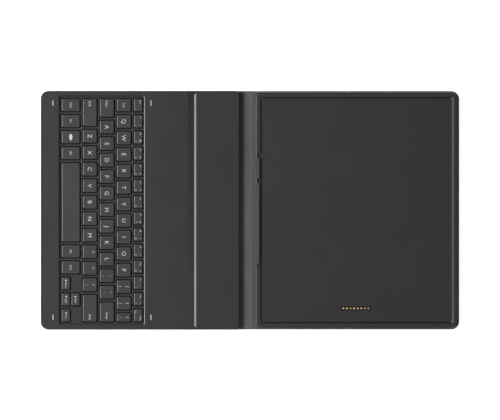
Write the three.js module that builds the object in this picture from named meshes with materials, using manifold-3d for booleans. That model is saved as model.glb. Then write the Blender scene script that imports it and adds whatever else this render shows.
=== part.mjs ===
// Tablet keyboard case, lying open and flat, in millimetres.
// +X is the typist's right, +Y points away from the typist, +Z is up. The origin is at the middle of the
// underside. From low y to high y lie the keyboard deck, the soft spine and the back cover with its tray.
import * as THREE from "three";
import { mergeVertices } from "three/addons/utils/BufferGeometryUtils.js";
import Module from "manifold-3d";

// ---- Driving dimensions -------------------------------------------------------------------------------

// Plan of the whole case
const halfWidth = 119.2;
const frontY = -209;
const farY = 209;
const outerCorner = 7;

// Crease lines, each running along X
const deckEndY = -11;
const spineCreaseY = -10;
const bandStartY = 1.9;
const coverCreaseY = 4.4;
const standCreaseY = 98;
const creaseGap = 0.05;

// Layers, counted up from the table
const skinTop = 0.6;
const boardBottom = 0.65;
const boardTop = 1.15;
const ribbonBottom = 1.2;
const ribbonTop = 1.35;
const linerBottom = 1.4;
const linerTop = 1.75;
const bandTop = 0.85;
const hemTop = 1.9;
const hemWidth = 2.7;

// Keyboard deck
const shellBottom = 0.7;
const shellTop = 6.5;
const shellWall = 1.8;
const deckCavityTop = 4.9;
const shellEdgeRound = 0.8;
const wellX = 113.9;
const wellY = [-189.9, -105.7];
const wellFlare = 0.9;
const webBottom = 4.5;
const webTop = 5.3;
const basePlateZ = [0.75, 1.3];
const supportPlateZ = [1.35, 1.65];
const membraneZ = [1.7, 1.9];
const domeTop = 3.4;
const domeRadii = [3.2, 1.9];

// Keys: widths and depths are those of the cap's top face
const keyFieldX = 111;
const keyFrontY = -187.5;
const capBottom = 3.5;
const capShoulder = 5.3;
const capTop = 6.3;
const capTaper = 0.3;
const capCorner = 1;
const capGapX = 4;
const capGapY = 3.3;
const ringGap = 1;
const letterCap = 12.48;
const numberRowCount = 14;
const frontRowCap = 12;
const frontRowDepth = 17.7;
const letterRowDepth = 13.7;
const numberRowDepth = 8.2;
const arrowGap = 1.6;
const bankRailTop = 4.1;
const bankRailWidth = 5;

// Stand groove across the deck
const grooveX = 117.8;
const grooveFrontY = -61.6;
const grooveBottomY = -55.7;
const grooveRearY = -53.8;
const grooveBottomZ = 4.6;
const troughBottom = 2.85;
const troughY = [-67, -49];
const stripX = 115.8;
const stripThickness = 0.5;

// Tray that holds the tablet
const trayX = 116.3;
const trayY = [6.3, 206.9];
const trayCorner = 4;
const trayBottom = 1.45;
const trayFloorTop = 3.05;
const rimTop = 4;
const rimEdgeRound = 0.4;
const seatX = 111.3;
const seatY = [11.7, 201.7];
const mouthX = 112.9;
const mouthY = [10.2, 203.3];
const lipTop = 3.7;
const lipFoot = 2.8;
const lipRear = 3.3;
const lipCrestY = 8.9;
const lipY = 9.4;
const slotY = 13;
const slotFloor = 1.95;
const lipSections = [
  [-51.8, -32.3],
  [-25.8, 53.2],
];
const endNotchX = [-57, -52.4];
const endNotchY = [7.6, slotY];
const notchFloor = 3;
const reliefHoles = [-30.3, 55.2];
const reliefHoleY = 8;
const reliefHoleRadius = 1.3;
const reliefFloor = 2.9;

// Charging and data contacts in the tray floor
const contactX = 98;
const contactMidY = 106;
const contactCount = 8;
const contactPitch = 3.54;
const contactRadius = 0.85;
const contactHoleRadius = 1.15;
const contactTop = 3.55;
const housingLength = 31.2;
const housingWidth = 3.8;
const housingZ = [1.5, 3];
const housingRoof = 2.5;
const carrierZ = [2.1, 2.45];

// Flat ribbon from the contacts to the controller
const ribbonX = [92, 104];

// ---- Solid helpers ------------------------------------------------------------------------------------

const wasm = await Module();
wasm.setup();

// A closed three.js geometry as a solid that can be joined and cut
function solid(geometry) {
  const bare = new THREE.BufferGeometry();
  bare.setAttribute("position", geometry.getAttribute("position"));
  bare.setIndex(geometry.index);
  const merged = mergeVertices(bare, 1e-4);
  return new wasm.Manifold(
    new wasm.Mesh({
      numProp: 3,
      vertProperties: new Float32Array(merged.getAttribute("position").array),
      triVerts: new Uint32Array(merged.index.array),
    }),
  );
}

// Rectangle with rounded corners as a counter-clockwise list of points; one radius, or four from low x, low y
function roundedRect(x, y, radius, steps = 2) {
  const radii = Array.isArray(radius) ? radius : [radius, radius, radius, radius];
  const corners = [
    [x[0] + radii[0], y[0] + radii[0]],
    [x[1] - radii[1], y[0] + radii[1]],
    [x[1] - radii[2], y[1] - radii[2]],
    [x[0] + radii[3], y[1] - radii[3]],
  ];
  return corners.flatMap(([cx, cy], corner) =>
    Array.from({ length: steps + 1 }, (_, step) => {
      const angle = Math.PI + (corner + step / steps) * (Math.PI / 2);
      return new THREE.Vector2(
        cx + radii[corner] * Math.cos(angle),
        cy + radii[corner] * Math.sin(angle),
      );
    }),
  );
}

// Closed solid through a stack of outlines with equal numbers of points, given as [z, outline]
function loft(levels) {
  const count = levels[0][1].length;
  const points = levels.flatMap(([z, outline]) => outline.flatMap((p) => [p.x, p.y, z]));
  const index = [];
  for (let level = 0; level + 1 < levels.length; level++) {
    for (let i = 0; i < count; i++) {
      const a = level * count + i;
      const b = level * count + ((i + 1) % count);
      index.push(a, b, b + count, a, b + count, a + count);
    }
  }
  const last = levels.length - 1;
  for (const [a, b, c] of THREE.ShapeUtils.triangulateShape(levels[0][1], [])) index.push(a, c, b);
  for (const face of THREE.ShapeUtils.triangulateShape(levels[last][1], [])) {
    index.push(...face.map((i) => last * count + i));
  }
  const geometry = new THREE.BufferGeometry();
  geometry.setAttribute("position", new THREE.Float32BufferAttribute(points, 3));
  geometry.setIndex(index);
  return solid(geometry);
}

// Flat plate with rounded corners
function plate(x, y, z, radius = 0.4, steps = 2) {
  const outline = roundedRect(x, y, radius, steps);
  return loft([
    [z[0], outline],
    [z[1], outline],
  ]);
}

function box(x, y, z) {
  const geometry = new THREE.BoxGeometry(x[1] - x[0], y[1] - y[0], z[1] - z[0]);
  geometry.translate((x[0] + x[1]) / 2, (y[0] + y[1]) / 2, (z[0] + z[1]) / 2);
  return solid(geometry);
}

function upright(x, y, z, bottomRadius, topRadius, sides) {
  const geometry = new THREE.CylinderGeometry(topRadius, bottomRadius, z[1] - z[0], sides);
  geometry.rotateX(Math.PI / 2);
  geometry.translate(x, y, (z[0] + z[1]) / 2);
  return solid(geometry);
}

// Bar along X with the section given as [y, z] points
function bar(x, section) {
  const shape = new THREE.Shape(section.map(([y, z]) => new THREE.Vector2(y, z)));
  const geometry = new THREE.ExtrudeGeometry(shape, { depth: x[1] - x[0], bevelEnabled: false });
  const turn = new THREE.Matrix4().makeBasis(
    new THREE.Vector3(0, 1, 0),
    new THREE.Vector3(0, 0, 1),
    new THREE.Vector3(1, 0, 0),
  );
  geometry.applyMatrix4(turn);
  geometry.translate(x[0], 0, 0);
  return solid(geometry);
}

const bothWays = (half) => [-half, half];
const grown = (range, by) => [range[0] - by, range[1] + by];
const middle = (range) => (range[0] + range[1]) / 2;
const joined = (solids) => solids.reduce((all, next) => all.add(next));

// ---- Materials ----------------------------------------------------------------------------------------

const finish = (color, roughness, metalness = 0) => ({ color, roughness, metalness });
const finishes = {
  skin: finish(0x3b3b3d, 0.85),
  weave: finish(0x58585b, 0.95),
  shell: finish(0x3c3c3e, 0.55),
  tray: finish(0x38383a, 0.6),
  cap: finish(0x454547, 0.5),
  board: finish(0x8a8a86, 0.8),
  sheetMetal: finish(0x9a9da0, 0.35, 0.9),
  strip: finish(0xb9babc, 0.3, 0.9),
  magnet: finish(0xa8a8aa, 0.3, 1),
  membrane: finish(0xd8d8d0, 0.6),
  circuit: finish(0x23452f, 0.5),
  ribbon: finish(0x9a6b2c, 0.5),
  bumper: finish(0xb5b5b3, 0.8),
  contact: finish(0xc9a24c, 0.3, 1),
};

const tabletKeyboardCase = new THREE.Group();

function piece(name, made, finishName) {
  const data = made.getMesh();
  const geometry = new THREE.BufferGeometry();
  geometry.setAttribute("position", new THREE.BufferAttribute(data.vertProperties, 3));
  geometry.setIndex(new THREE.BufferAttribute(data.triVerts, 1));
  geometry.computeVertexNormals();
  const mesh = new THREE.Mesh(geometry, new THREE.MeshStandardMaterial(finishes[finishName]));
  mesh.name = name;
  tabletKeyboardCase.add(mesh);
}

// ---- Key layout ---------------------------------------------------------------------------------------

// Rows from the typist outwards. Each entry is [node, number of caps side by side, cap width]; the one cap
// of each row with no width takes what is left of the row.
const frontRow = [
  ["key_ctrl_left", 1, frontRowCap],
  ["key_fn", 1, frontRowCap],
  ["key_menu", 1, frontRowCap],
  ["key_alt_left", 1, frontRowCap],
  ["key_space", 1],
  ["key_alt_right", 1, frontRowCap],
  ["key_ctrl_right", 1, frontRowCap],
  ["key_left", 1, frontRowCap],
  ["key_down", 1, frontRowCap],
  ["key_right", 1, frontRowCap],
];
const shiftRow = [
  ["key_shift_left", 1, 26.8],
  ["keys_z_x_c", 3, letterCap],
  ["keys_v_b", 2, letterCap],
  ["keys_n_m_comma", 3, letterCap],
  ["keys_period_slash", 2, letterCap],
  ["key_shift_right", 1],
];
const homeRow = [
  ["key_caps_lock", 1, 17.8],
  ["keys_a_s_d", 3, letterCap],
  ["keys_f_g_h", 3, letterCap],
  ["keys_j_k_l", 3, letterCap],
  ["keys_semicolon_quote", 2, letterCap],
  ["key_enter", 1],
];
const topLetterRow = [
  ["key_tab", 1, 12.2],
  ["keys_q_w_e", 3, letterCap],
  ["keys_r_t_y", 3, letterCap],
  ["keys_u_i_o", 3, letterCap],
  ["keys_p_brackets", 3, letterCap],
  ["key_backslash", 1],
];
const numberCap = (2 * keyFieldX - (numberRowCount - 1) * capGapX) / numberRowCount;
const numberRow = [
  ["keys_number_left", numberRowCount / 2, numberCap],
  ["keys_number_right", numberRowCount / 2, numberCap],
];

function layOut(row, y) {
  const caps = row.flatMap(([node, count, width]) => Array(count).fill({ node, width }));
  const taken = caps.reduce((sum, cap) => sum + (cap.width ?? 0), 0);
  const rest = 2 * keyFieldX - taken - (caps.length - 1) * capGapX;
  let x = -keyFieldX;
  return caps.map(({ node, width = rest }) => {
    const cap = { node, x: [x, x + width], y };
    x += width + capGapX;
    return cap;
  });
}

function layOutAll() {
  const caps = [];
  let y = keyFrontY;
  for (const [row, depth] of [
    [frontRow, frontRowDepth],
    [shiftRow, letterRowDepth],
    [homeRow, letterRowDepth],
    [topLetterRow, letterRowDepth],
    [numberRow, numberRowDepth],
  ]) {
    caps.push(...layOut(row, [y, y + depth]));
    y += depth + capGapY;
  }
  // The four arrows are half as deep as their row, and the up arrow sits behind the down arrow.
  const arrowDepth = (frontRowDepth - arrowGap) / 2;
  const isArrow = ({ node }) => ["key_left", "key_down", "key_right"].includes(node);
  for (const cap of caps.filter(isArrow)) cap.y = [keyFrontY, keyFrontY + arrowDepth];
  const down = caps.find((cap) => cap.node === "key_down");
  const upFrontY = keyFrontY + arrowDepth + arrowGap;
  caps.push({ node: "key_up", x: down.x, y: [upFrontY, upFrontY + arrowDepth] });
  return caps;
}

const caps = layOutAll();

function capSolid({ x, y }) {
  const top = roundedRect(x, y, capCorner, 1);
  const base = roundedRect(grown(x, capTaper), grown(y, capTaper), capCorner, 1);
  return loft([
    [capBottom, base],
    [capShoulder, base],
    [capTop, top],
  ]);
}

// One key, or a bank of keys joined by a rail that runs below the web
function keyNode(name) {
  const own = caps.filter((cap) => cap.node === name);
  const solids = own.map(capSolid);
  if (own.length > 1) {
    const railX = [middle(own[0].x), middle(own[own.length - 1].x)];
    const railY = grown([middle(own[0].y), middle(own[0].y)], bankRailWidth / 2);
    solids.push(box(railX, railY, [capBottom, bankRailTop]));
  }
  piece(name, joined(solids), "cap");
}

// ---- Keyboard deck ------------------------------------------------------------------------------------

const deckOutline = (inset) =>
  roundedRect(
    bothWays(halfWidth - inset),
    [frontY + inset, deckEndY - inset],
    [outerCorner - inset, outerCorner - inset, 2 - inset, 2 - inset],
    5,
  );

const bumperSpots = {
  bumper_front_left: [-106.9, -196.3],
  bumper_front_right: [106.9, -196.3],
  bumper_rear_left: [-106.9, -98.6],
  bumper_rear_right: [106.9, -98.6],
};
const bumperSize = [5.5, 1.5];
const bumperZ = [6.15, 6.85];
const bumperSeatGap = 0.1;

function bumperSolid([x, y], grow, z) {
  const halfX = bumperSize[0] / 2 + grow;
  const halfY = bumperSize[1] / 2 + grow;
  return plate([x - halfX, x + halfX], [y - halfY, y + halfY], z, halfY - 0.01, 3);
}

function keyHole({ x, y }) {
  const clear = capTaper + ringGap;
  return plate(grown(x, clear), grown(y, clear), [webBottom - 0.5, webTop + 0.5], capCorner, 1);
}

function makeDeckShell() {
  const outer = loft([
    [shellBottom, deckOutline(0)],
    [shellTop - shellEdgeRound, deckOutline(0)],
    [shellTop - shellEdgeRound * 0.3, deckOutline(shellEdgeRound * 0.3)],
    [shellTop, deckOutline(shellEdgeRound)],
  ]);
  const insideX = bothWays(halfWidth - shellWall);
  const insideY = [frontY + shellWall, deckEndY - shellWall];
  const insideCorner = outerCorner - shellWall;
  const below = shellBottom - 1;
  const wellFloor = roundedRect(bothWays(wellX), wellY, 1.5, 1);
  const wellMouth = roundedRect(bothWays(wellX + wellFlare), grown(wellY, wellFlare), 2, 1);
  const cuts = [
    plate(insideX, [insideY[0], troughY[0]], [below, webBottom], [insideCorner, insideCorner, 1, 1], 4),
    box(insideX, [troughY[0] - 1, troughY[1] + 1], [below, troughBottom]),
    plate(insideX, [troughY[1], insideY[1]], [below, deckCavityTop], 1),
    loft([
      [webTop, wellFloor],
      [shellTop + 0.01, wellMouth],
    ]),
    bar(bothWays(grooveX), [
      [grooveFrontY, shellTop],
      [grooveBottomY, grooveBottomZ],
      [grooveBottomY + stripThickness, grooveBottomZ - 0.35],
      [grooveRearY + stripThickness, shellTop - 0.35],
      [grooveRearY + stripThickness, shellTop + 1],
      [grooveFrontY, shellTop + 1],
    ]),
    box(grown(ribbonX, 1), [deckEndY - 3, deckEndY + 1], [below, 2.3]),
    ...caps.map(keyHole),
    ...Object.values(bumperSpots).map((spot) => bumperSolid(spot, bumperSeatGap, [bumperZ[0] - 0.05, 9])),
  ];
  return cuts.reduce((shell, cut) => shell.subtract(cut), outer);
}

// Slim metal strip on the slope behind the groove, where the tablet's edge rests
function makeGrooveStrip() {
  const gap = 0.1;
  return bar(bothWays(stripX), [
    [grooveBottomY + gap, grooveBottomZ],
    [grooveBottomY + stripThickness, grooveBottomZ - 0.2],
    [grooveRearY + stripThickness - gap, shellTop - 0.25],
    [grooveRearY, shellTop],
  ]);
}

function makeDomeSheet() {
  const sheet = plate(bothWays(113), [-190, -107], membraneZ, 1);
  const tail = box(bothWays(12), [-108, -46.4], membraneZ);
  const domes = caps.map(({ x, y }) =>
    upright(middle(x), middle(y), [membraneZ[0], domeTop], domeRadii[0], domeRadii[1], 6),
  );
  return joined([sheet, tail, ...domes]);
}

function makeController() {
  const boardZ = [1.5, 2.3];
  const chipTop = 3.4;
  const chipBase = boardZ[1] - 0.2;
  return joined([
    plate([-60, 60], [-46, -18], boardZ, 2),
    box([-8, 8], [-40, -26], [chipBase, chipTop]),
    box([-45, -30], [-36, -24], [chipBase, chipTop - 0.3]),
    box([44, 58], [-38, -28], [chipBase, chipTop]),
    box([-14, 14], [-45.8, -42.5], [chipBase, chipTop]),
  ]);
}

function makeDeckRibbon() {
  const levelZ = [2.4, 2.55];
  const run = bar(ribbonX, [
    [-38, levelZ[0]],
    [-17.5, levelZ[0]],
    [-14.8, ribbonBottom + 0.2],
    [-11.1, ribbonBottom + 0.2],
    [-11.1, ribbonTop + 0.2],
    [-14.6, ribbonTop + 0.2],
    [-17.3, levelZ[1]],
    [-38, levelZ[1]],
  ]);
  return run.add(box([58.3, ribbonX[0] + 0.5], [-38, -28], levelZ));
}

function makeDeck() {
  const frontRadii = [outerCorner, outerCorner, 0.5, 0.5];
  const deckSkinY = [frontY, spineCreaseY - creaseGap];
  piece("deck_skin", plate(bothWays(halfWidth), deckSkinY, [0, skinTop], frontRadii, 5), "skin");
  piece("deck_top_shell", makeDeckShell(), "shell");
  const plateY = [frontY + shellWall + 0.3, deckEndY - shellWall - 0.3];
  const plateX = bothWays(halfWidth - shellWall - 0.3);
  piece("deck_base_plate", plate(plateX, plateY, basePlateZ, 4.9, 4), "board");
  piece("key_support_plate", plate(bothWays(113.2), [-190.2, -106.8], supportPlateZ, 1), "sheetMetal");
  piece("dome_sheet", makeDomeSheet(), "membrane");
  piece("controller_board", makeController(), "circuit");
  piece("deck_ribbon", makeDeckRibbon(), "ribbon");
  piece("groove_strip", makeGrooveStrip(), "strip");
  piece("groove_magnet", plate(bothWays(100), [-63, -56], [2, 2.75], 1), "magnet");
  piece("closing_magnet", plate(bothWays(30), [-204, -195], [1.7, 4.3], 1), "magnet");
  for (const [name, spot] of Object.entries(bumperSpots)) {
    piece(name, bumperSolid(spot, 0, bumperZ), "bumper");
  }
  for (const name of new Set(caps.map((cap) => cap.node))) keyNode(name);
}

// ---- Spine --------------------------------------------------------------------------------------------

function makeSpine() {
  const y = [spineCreaseY + creaseGap, bandStartY - creaseGap];
  piece("spine_skin", plate(bothWays(halfWidth), y, [0, skinTop], 0.3, 1), "skin");
  piece("spine_stiffener", plate(bothWays(115), [-9.2, 1.2], [boardBottom, boardTop], 1), "board");
  piece("spine_ribbon", box(ribbonX, y, [ribbonBottom, ribbonTop]), "ribbon");
  piece("spine_liner", plate(bothWays(halfWidth - 0.4), y, [linerBottom, linerTop], 0.3, 1), "weave");
  const bandY = [bandStartY + creaseGap, coverCreaseY - creaseGap];
  piece("hinge_band", plate(bothWays(halfWidth), bandY, [0, bandTop], 0.3, 1), "skin");
}

// ---- Back cover ---------------------------------------------------------------------------------------

// Outer skin of one cover panel, with its turned-in hem standing round the board
function coverSkin(y, radii, innerX, innerY) {
  const sheet = plate(bothWays(halfWidth), y, [0, hemTop], radii, 5);
  return sheet.subtract(plate(bothWays(innerX), innerY, [skinTop, hemTop + 1], 1, 3));
}

function makeLowerBack() {
  const y = [coverCreaseY + creaseGap, standCreaseY - creaseGap];
  const innerX = halfWidth - hemWidth;
  const hemStart = coverCreaseY + 1.3;
  const skin = coverSkin(y, 0.5, innerX, [y[0] - 5, y[1] + 5]);
  const creaseRelief = box(bothWays(halfWidth + 1), [y[0] - 1, hemStart], [skinTop, hemTop + 1]);
  piece("lower_back_skin", skin.subtract(creaseRelief), "skin");
  const boardZ = [boardBottom, boardTop];
  piece("lower_back_board", plate(bothWays(innerX - 0.3), [5.2, 97.5], boardZ, 1), "board");
  const ribbonY = [coverCreaseY + 0.6, standCreaseY - 0.1];
  piece("lower_back_ribbon", box(ribbonX, ribbonY, [ribbonBottom, ribbonTop]), "ribbon");
}

function makeUpperBack() {
  const y = [standCreaseY + creaseGap, farY];
  const innerX = halfWidth - hemWidth;
  const innerY = [y[0] - 5, farY - 1.9];
  const skin = coverSkin(y, [0.5, 0.5, outerCorner, outerCorner], innerX, innerY);
  piece("upper_back_skin", skin, "skin");
  const boardZ = [boardBottom, boardTop];
  piece("upper_back_board", plate(bothWays(innerX - 0.3), [98.5, 206.7], boardZ, 1), "board");
  const ribbonY = [standCreaseY + 0.1, 118];
  piece("upper_back_ribbon", box(ribbonX, ribbonY, [ribbonBottom, ribbonTop]), "ribbon");
}

// ---- Tray and contacts --------------------------------------------------------------------------------

const pocketOfContacts = (grow, z) => {
  const halfX = housingWidth / 2 + grow;
  const halfY = housingLength / 2 + grow;
  const x = [contactX - halfX, contactX + halfX];
  return plate(x, [contactMidY - halfY, contactMidY + halfY], z, halfX - 0.01, 4);
};
const contactYs = Array.from(
  { length: contactCount },
  (_, i) => contactMidY + (i - (contactCount - 1) / 2) * contactPitch,
);

const trayMagnetX = bothWays(110);
const trayMagnetY = [6.9, 8.5];
const trayMagnetZ = [1.6, 2.5];

function makeTray() {
  const outline = (inset) => roundedRect(bothWays(trayX - inset), grown(trayY, -inset), trayCorner - inset, 4);
  const outer = loft([
    [trayBottom, outline(0)],
    [rimTop - rimEdgeRound, outline(0)],
    [rimTop, outline(rimEdgeRound)],
  ]);
  const pocket = loft([
    [trayFloorTop, roundedRect(bothWays(seatX), seatY, 3, 4)],
    [rimTop + 0.01, roundedRect(bothWays(mouthX), mouthY, 4, 4)],
  ]);
  const above = rimTop + 1;
  const cuts = [
    pocket,
    ...lipSections.map((x) =>
      bar(x, [
        [trayY[0] - 1, lipFoot],
        [trayY[0], lipFoot],
        [lipCrestY, lipTop],
        [lipY + 0.1, lipRear],
        [lipY + 1, lipRear],
        [lipY + 1, above],
        [trayY[0] - 1, above],
      ]),
    ),
    ...lipSections.map((x) => box(x, [lipY, slotY], [slotFloor, above])),
    box(endNotchX, endNotchY, [notchFloor, above]),
    ...reliefHoles.map((x) =>
      upright(x, reliefHoleY, [reliefFloor, above], reliefHoleRadius, reliefHoleRadius, 12),
    ),
    box(grown(trayMagnetX, 0.2), grown(trayMagnetY, 0.2), [trayBottom - 1, trayMagnetZ[1] + 0.1]),
    pocketOfContacts(0.15, [trayBottom - 1, trayFloorTop + 1]),
  ];
  return cuts.reduce((tray, cut) => tray.subtract(cut), outer);
}

function makeContactHousing() {
  const cavity = box(
    [contactX - 1.35, contactX + 1.35],
    [contactMidY - 14.2, contactMidY + 14.2],
    [housingZ[0] - 1, housingRoof],
  );
  const holes = contactYs.map((y) =>
    upright(contactX, y, [housingRoof - 0.5, 4], contactHoleRadius, contactHoleRadius, 12),
  );
  return [cavity, ...holes].reduce((body, cut) => body.subtract(cut), pocketOfContacts(0, housingZ));
}

// Gold contacts, each a plunger with a domed tip, held by one sprung carrier
function makeContactPins() {
  const carrier = box(
    [contactX - 1.1, contactX + 1.1],
    [contactMidY - 13.8, contactMidY + 13.8],
    carrierZ,
  );
  const tipStart = contactTop - 0.35;
  const pins = contactYs.flatMap((y) => [
    upright(contactX, y, [carrierZ[0], tipStart], contactRadius, contactRadius, 8),
    upright(contactX, y, [tipStart, contactTop], contactRadius, contactRadius * 0.5, 8),
  ]);
  return joined([carrier, ...pins]);
}

makeDeck();
makeSpine();
makeLowerBack();
makeUpperBack();
piece("tray_shell", makeTray(), "tray");
piece("tray_magnet", plate(trayMagnetX, trayMagnetY, trayMagnetZ, 0.5), "magnet");
piece("contact_housing", makeContactHousing(), "shell");
piece("contact_pins", makeContactPins(), "contact");

export default tabletKeyboardCase;
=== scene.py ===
"""Looks of the tablet keyboard case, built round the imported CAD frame.

Shapes are worked out in millimetres, in the frame's own axes: +X is the typist's right, +Y points away
from the typist and +Z is up. Each piece is scaled to metres when it is made.
"""

import math

import bmesh
import bpy
from mathutils import Matrix, Vector


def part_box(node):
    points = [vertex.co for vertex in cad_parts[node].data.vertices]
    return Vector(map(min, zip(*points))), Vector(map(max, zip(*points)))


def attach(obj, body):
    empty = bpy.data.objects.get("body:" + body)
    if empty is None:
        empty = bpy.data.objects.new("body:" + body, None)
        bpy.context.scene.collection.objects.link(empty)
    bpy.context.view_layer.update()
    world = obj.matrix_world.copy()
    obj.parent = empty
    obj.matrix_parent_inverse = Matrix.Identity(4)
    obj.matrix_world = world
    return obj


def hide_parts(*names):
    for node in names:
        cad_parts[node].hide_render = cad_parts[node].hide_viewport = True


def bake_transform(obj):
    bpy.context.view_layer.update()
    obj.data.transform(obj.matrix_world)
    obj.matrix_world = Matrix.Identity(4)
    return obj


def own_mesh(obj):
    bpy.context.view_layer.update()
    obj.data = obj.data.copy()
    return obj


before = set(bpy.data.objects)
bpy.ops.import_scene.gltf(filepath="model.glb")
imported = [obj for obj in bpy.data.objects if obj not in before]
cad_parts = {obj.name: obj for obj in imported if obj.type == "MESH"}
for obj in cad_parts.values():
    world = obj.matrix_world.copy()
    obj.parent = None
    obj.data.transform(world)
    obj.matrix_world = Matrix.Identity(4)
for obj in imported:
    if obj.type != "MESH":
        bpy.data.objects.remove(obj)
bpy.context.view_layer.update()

MM = 0.001

# ---- Sizes, in millimetres ----

# Crease lines, each running along X
SPINE_CREASE = -10.0
BAND_CREASE = 1.9
COVER_CREASE = 4.4
STAND_CREASE = 98.0

# Seams between the stretches of skin and liner, each on a stretch that stays flat
SPINE_SEAM = -7.2
BAND_SEAM = 3.15
LOWER_SEAM = 51.0

# Keyboard deck: the shell, the web between the keys and the well above it. An X on its own is half a width, a
# pair in Y is a span, and a bottom, crest or ceiling is made of (y, z) points. This holds for the tray too.
SHELL_ROUND = 0.8
REAR_ROUND_SHARE = 0.35
DECK_CORNER = 8.0
REAR_CORNER = 2.0
WEB_TOP = 5.3
WELL_X = 113.9
WELL_Y = (-189.9, -105.7)
WELL_CORNER = 1.5
WELL_FLARE = 0.9
WEB_GAP_WIDTH = 0.55
WEB_GAP_DEPTH = 0.6
RING_GAP = 1.0
BUMPER_SIDES = ("front_left", "front_right", "rear_left", "rear_right")
BUMPER_GAP = 0.12
BUMPER_ROUND = 0.3
GROOVE_X = 117.8
GROOVE_FRONT = -61.6
GROOVE_BOTTOM = (-55.7, 4.6)
GROOVE_REAR = -53.8
STRIP_THICKNESS = 0.5
CAVITY_X = 116.2
CAVITY_CEILING = [(-206.0, 4.5), (-67.0, 4.5), (-67.0, 2.85), (-49.0, 2.85), (-49.0, 4.9), (-12.8, 4.9)]
LINER_SLOT_X = 118.9
RIBBON_SLOT_X = (91.0, 105.0)
RIBBON_SLOT_START = (-14.6, 2.3)
CLEAR_HEIGHT = 9.0

# Key caps
CAP_GAP = 3.4
CAP_CORNER = 1.3
CAP_FLANK = [(0.25, -2.8), (0.0, -2.5), (0.0, -0.95), (0.05, -0.72), (0.2, -0.4), (0.45, -0.15), (0.8, -0.03)]
CAP_PROFILE = CAP_FLANK + [(1.2, 0.0), (2.4, -0.04), (3.6, -0.07)]
CAP_REACH = 0.47
LEGEND_DEPTH = 0.08
LEGEND_PROUD = 0.015

# Rubber dome under each cap, as (radius, height over the sheet)
DOME_PROFILE = [(3.2, 0.0), (3.0, 0.22), (2.2, 1.0), (1.9, 1.15), (1.9, 1.42), (1.78, 1.5)]
DOME_SHEET_Y = -107.0
DOME_SHEET_THICKNESS = 0.2
DOME_TAIL_X = 12.0

# Tray
TRAY_CORNER = 4.0
TRAY_ROUND = 0.45
SEAT_X = 112.5
SEAT_Y = (11.7, 201.7)
MOUTH_X = 113.1
MOUTH_Y = (10.2, 203.3)
GUTTER_WIDTH = 0.95
GUTTER_DEPTH = 1.15
SEAT_CORNER = 1.8
LIP_CREST = (9.3, 3.7)
LIP_FOOT = 2.9
LIP_BULGE = 0.06
LIP_STEPS = 6
LIP_REAR = (9.8, 3.3)
SLOT_Y = 13.0
SLOT_FLOOR = 1.95
LIP_SECTIONS = [(-51.8, -32.3), (-25.8, 53.2)]
END_NOTCH = (-57.0, -52.4)
NOTCH_FRONT = 7.6
NOTCH_FLOOR = 3.0
RELIEF_HOLES = [-30.3, 55.2]
RELIEF_Y = 8.0
RELIEF_RADIUS = 1.3
RELIEF_FLOOR = 2.9

# Contacts: the pins, their holes and the room below the housing for the carrier that joins them
PIN_COUNT = 8
PIN_PITCH = 3.54
PIN_RADIUS = 0.76
PIN_HOLE_RADIUS = 1.1
PIN_HOLE_MOUTH = 1.3
CARRIER_THICKNESS = 0.35
CARRIER_ROOM = (1.35, 14.2)

# Outer skin and woven liner
SKIN_TOP = 0.6
HEM_TOP = 1.9
HEM_WIDTH = 2.2
SKIN_EDGE_ROUND = 0.45
CREASE_DEPTH = 0.22
CREASE_WIDTH = 0.9
LINER_Y = (-17.4, 97.4)
LINER_SPINE = (1.4, 1.75)
LINER_COVER = (1.36, 1.43)
LINER_COVER_X = 116.3
# Span in Y over which painted shade darkens the liner towards the tray
LINER_SHADE_Y = (-3.5, 7.5)

# The hem is pressed flat under the deck, rises along the spine and stands at full height round the cover:
# its share of that height, what each rise adds to it, and where in Y the rise is.
HEM_PRESSED = 0.03
HEM_SPINE_RISE = 0.55
HEM_SPINE_Y = (-10.9, -10.4)
HEM_COVER_RISE = 0.42
HEM_COVER_Y = (4.9, 6.3)

# The liner dips under the tray over the first span in Y, and narrows over the second.
LINER_DIP_Y = (2.2, 5.4)
LINER_NARROWING_Y = (4.4, 6.2)

# How far the sheets are finely divided on both sides of each crease
FINE_REACH = 1.6


# ---- Outlines and solids ----


def node_box(node):
    """Lowest and highest corner of a CAD node, in millimetres."""
    low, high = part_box(node)
    return low / MM, high / MM


def plan(node):
    """Spans of a CAD node in X and in Y, in millimetres."""
    low, high = node_box(node)
    return (low.x, high.x), (low.y, high.y)


def both(half):
    return (-half, half)


def middle(span):
    return (span[0] + span[1]) / 2


def grown(span, by):
    return (span[0] - by, span[1] + by)


def rounded(x, y, radius, steps=6):
    """Counter-clockwise rectangle with rounded corners: one radius, or four from low x, low y onwards."""
    radii = [max(r, 0.02) for r in (radius if hasattr(radius, "__len__") else [radius] * 4)]
    corners = [
        (x[0] + radii[0], y[0] + radii[0]),
        (x[1] - radii[1], y[0] + radii[1]),
        (x[1] - radii[2], y[1] - radii[2]),
        (x[0] + radii[3], y[1] - radii[3]),
    ]
    points = []
    for corner, (cx, cy) in enumerate(corners):
        for step in range(steps + 1):
            angle = math.pi + (corner + step / steps) * math.pi / 2
            points.append((cx + radii[corner] * math.cos(angle), cy + radii[corner] * math.sin(angle)))
    return points


def loft(levels):
    """Closed solid through outlines with equal numbers of points, given as (z, outline) from the bottom."""
    count = len(levels[0][1])
    verts = [(px, py, z) for z, outline in levels for px, py in outline]
    faces = [tuple(reversed(range(count)))]
    for level in range(len(levels) - 1):
        a = level * count
        for i in range(count):
            j = (i + 1) % count
            faces.append((a + i, a + j, a + count + j, a + count + i))
    faces.append(tuple(range((len(levels) - 1) * count, len(levels) * count)))
    return verts, faces


def inset_loft(x, y, corner, profile, steps=6):
    """Closed solid of one rounded rectangle whose outline moves in by each (inset, z) of the profile."""
    return loft(
        [(z, rounded(grown(x, -inset), grown(y, -inset), corner - inset, steps)) for inset, z in profile]
    )


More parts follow.
